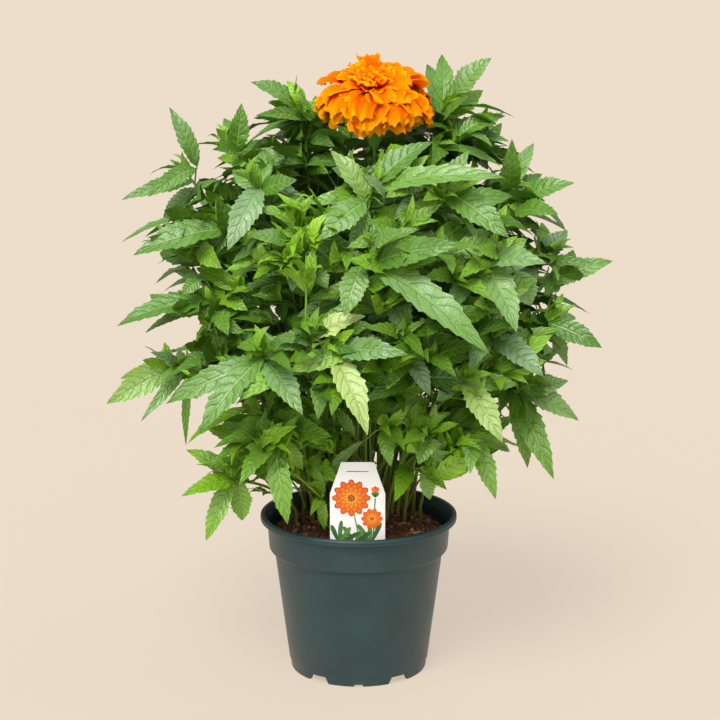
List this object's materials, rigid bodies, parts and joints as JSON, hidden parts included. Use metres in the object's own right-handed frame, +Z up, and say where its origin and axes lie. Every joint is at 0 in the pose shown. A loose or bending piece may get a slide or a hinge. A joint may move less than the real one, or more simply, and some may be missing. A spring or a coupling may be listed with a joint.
{
  "type": "potted french marigold",
  "caption": "French marigold with a double orange bloom over a dome of toothed green leaves, growing in a dark plastic nursery pot with a plant label.",
  "frame": {"origin": "middle of the pot's foot, on the surface that it stands on", "axes": "+Z up along the pot's axis, -Y towards the side with the plant label, +X to the right as seen from that side"},
  "size_m": [0.3014, 0.2566, 0.3772],
  "materials": {
    "pot_plastic": "satin dark green-grey polypropylene, finely speckled",
    "potting_soil": "dark crumbly potting soil with bits of bark",
    "label_plastic": "smooth white plastic with a printed orange flower and green leaves",
    "petals": "velvety ruffled petals, yellow-orange at the rims and orange-red inside",
    "leaves": "soft matt grey-green leaves with lighter ribs, yellow-green where young"
  },
  "bodies": {
    "root": {"pot": "pot_plastic", "soil": "potting_soil", "plant_label": "label_plastic", "bloom": "petals", "leafy_stem_front_01": "leaves", "leafy_stem_front_02": "leaves", "leafy_stem_front_03": "leaves", "leafy_stem_front_04": "leaves", "leafy_stem_front_05": "leaves", "leafy_stem_front_06": "leaves", "leafy_stem_front_07": "leaves", "leafy_stem_front_08": "leaves", "leafy_stem_front_09": "leaves", "leafy_stem_front_10": "leaves", "leafy_stem_front_11": "leaves", "leafy_stem_front_12": "leaves", "leafy_stem_front_13": "leaves", "leafy_stem_front_14": "leaves", "leafy_stem_front_15": "leaves", "leafy_stem_front_16": "leaves", "leafy_stem_back_01": "leaves", "leafy_stem_back_02": "leaves", "leafy_stem_back_03": "leaves", "leafy_stem_back_04": "leaves", "leafy_stem_back_05": "leaves", "leafy_stem_back_06": "leaves", "leafy_stem_back_07": "leaves", "flower_stem": "leaves"}
  },
  "joints": []
}
